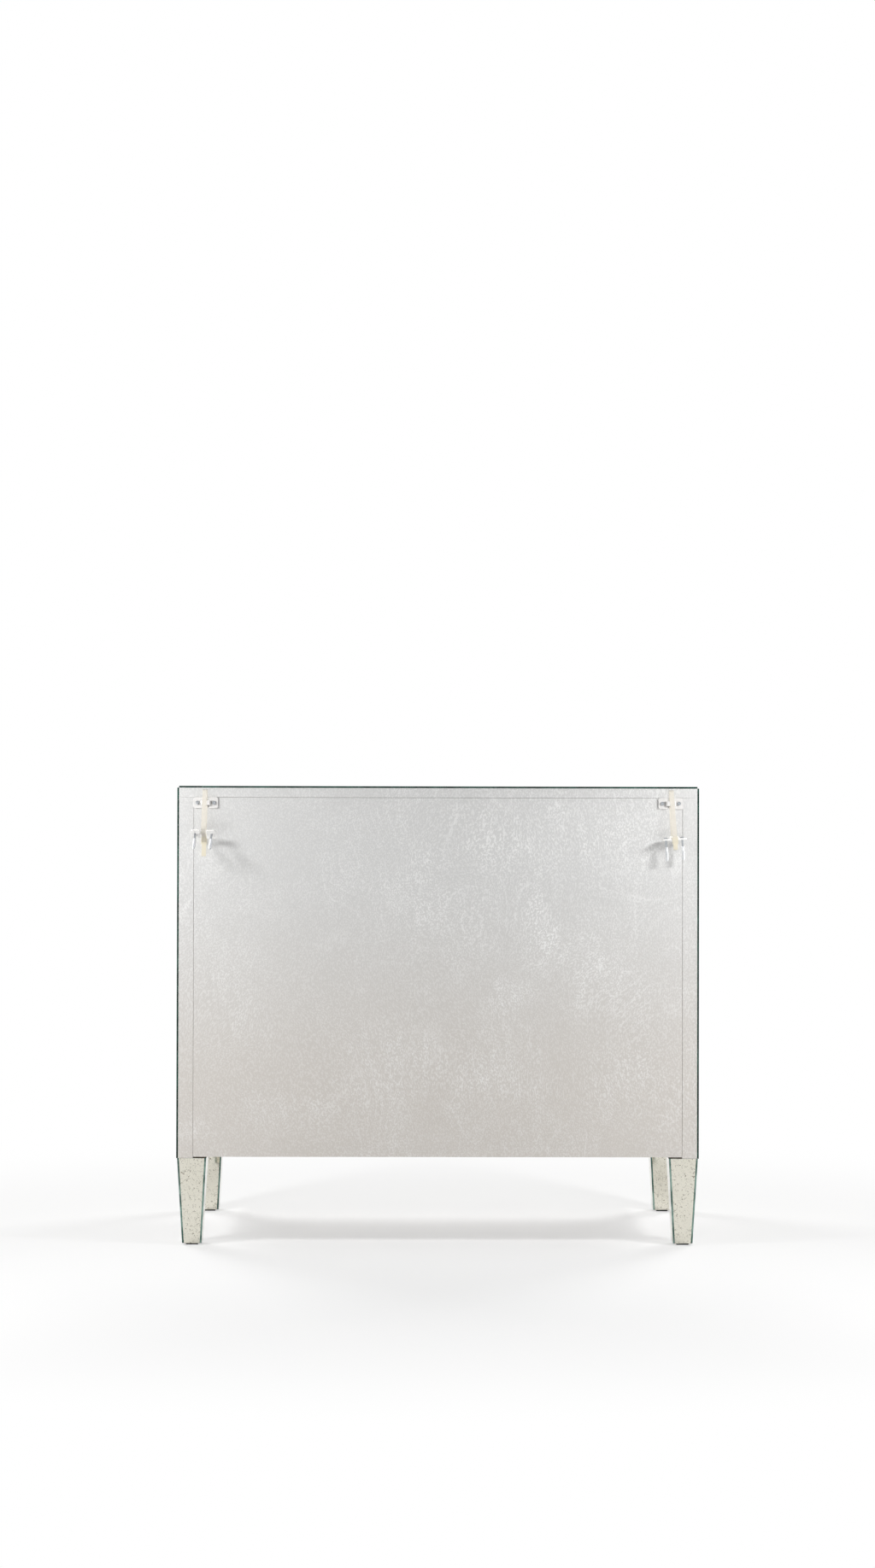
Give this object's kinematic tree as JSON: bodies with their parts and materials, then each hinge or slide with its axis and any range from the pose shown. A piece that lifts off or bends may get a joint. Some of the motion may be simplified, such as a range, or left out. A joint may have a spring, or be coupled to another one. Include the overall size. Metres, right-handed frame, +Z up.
{
  "type": "mirrored chiffonier cabinet",
  "caption": "Mirror-clad chiffonier with side-by-side drawers over inset doors, tapered legs, silvered back and anti-tip wall restraint kits.",
  "frame": {"origin": "middle of the space the cabinet takes up, at floor level", "axes": "+Z up, +X to the right seen from the front, the doors and drawers face -Y and the back faces +Y"},
  "size_m": [0.914, 0.5306, 0.804],
  "materials": {
    "silver_paint": "brushed silver-white lacquer over MDF",
    "antique_mirror": "antiqued mirror with light foxing, green cut edges",
    "nickel": "polished nickel plate",
    "knob_glass": "clear faceted glass",
    "steel": "zinc-plated steel",
    "white_plastic": "moulded white plastic",
    "ivory_nylon": "natural nylon, slightly translucent",
    "clear_white_plastic": "translucent white plastic",
    "drawer_wood": "clear-lacquered birch",
    "leg_wood": "plain beech",
    "dark_plastic": "smooth dark nylon"
  },
  "bodies": {
    "root": {"top_panel": "silver_paint", "bottom_panel": "silver_paint", "side_panel_left": "silver_paint", "side_panel_right": "silver_paint", "back_panel": "silver_paint", "drawer_deck": "silver_paint", "drawer_partition": "silver_paint", "cupboard_shelf": "silver_paint", "door_catch": "steel", "restraint_screws": "steel", "mirror_top": "antique_mirror", "mirror_side_left": "antique_mirror", "mirror_side_right": "antique_mirror", "mirror_stiles": "antique_mirror", "mirror_rails": "antique_mirror", "leg_mirrors_back_left": "antique_mirror", "leg_mirrors_back_right": "antique_mirror", "leg_mirrors_front_left": "antique_mirror", "leg_mirrors_front_right": "antique_mirror", "leg_cores": "leg_wood", "leg_tenons": "leg_wood", "drawer_runners": "leg_wood", "shelf_cleats": "leg_wood", "leg_glides": "dark_plastic", "hinge_case_leaves": "nickel", "hinge_pins": "nickel", "restraint_bracket_left": "white_plastic", "restraint_bracket_right": "white_plastic"},
    "drawer_left": {"drawer_left_front": "silver_paint", "drawer_left_mirror": "antique_mirror", "drawer_left_box": "drawer_wood", "drawer_left_bottom": "drawer_wood", "drawer_left_knob": "knob_glass", "drawer_left_knob_bolt": "nickel"},
    "door_left": {"door_left_panel": "silver_paint", "door_left_mirror": "antique_mirror", "door_left_knob": "knob_glass", "door_left_knob_bolt": "nickel", "door_left_hinge_leaves": "nickel", "door_left_strike": "steel"},
    "restraint_left": {"tie_left": "ivory_nylon", "wall_bracket_left": "white_plastic", "wall_screws_left": "steel", "wall_anchors_left": "clear_white_plastic"},
    "drawer_right": {"drawer_right_front": "silver_paint", "drawer_right_mirror": "antique_mirror", "drawer_right_box": "drawer_wood", "drawer_right_bottom": "drawer_wood", "drawer_right_knob": "knob_glass", "drawer_right_knob_bolt": "nickel"},
    "door_right": {"door_right_panel": "silver_paint", "door_right_mirror": "antique_mirror", "door_right_knob": "knob_glass", "door_right_knob_bolt": "nickel", "door_right_hinge_leaves": "nickel", "door_right_strike": "steel"},
    "restraint_right": {"tie_right": "ivory_nylon", "wall_bracket_right": "white_plastic", "wall_screws_right": "steel", "wall_anchors_right": "clear_white_plastic"}
  },
  "joints": [
    {"name": "drawer_left_slide", "type": "slide", "parent": "root", "child": "drawer_left", "axis": [0, -1, 0], "range_m": [0, 0.29]},
    {"name": "door_left_hinge", "type": "hinge", "parent": "root", "child": "door_left", "pos_m": [-0.4269, -0.24115, 0.3945], "axis": [0, 0, -1], "range_deg": [0, 110]},
    {"name": "restraint_left_swing", "type": "hinge", "parent": "root", "child": "restraint_left", "pos_m": [-0.4078, 0.21495, 0.7745], "axis": [1, 0, 0], "range_deg": [0, 20]},
    {"name": "drawer_right_slide", "type": "slide", "parent": "root", "child": "drawer_right", "axis": [0, -1, 0], "range_m": [0, 0.29]},
    {"name": "door_right_hinge", "type": "hinge", "parent": "root", "child": "door_right", "pos_m": [0.4269, -0.24115, 0.3945], "axis": [0, 0, 1], "range_deg": [0, 110]},
    {"name": "restraint_right_swing", "type": "hinge", "parent": "root", "child": "restraint_right", "pos_m": [0.4078, 0.21495, 0.7745], "axis": [1, 0, 0], "range_deg": [0, 20]}
  ]
}
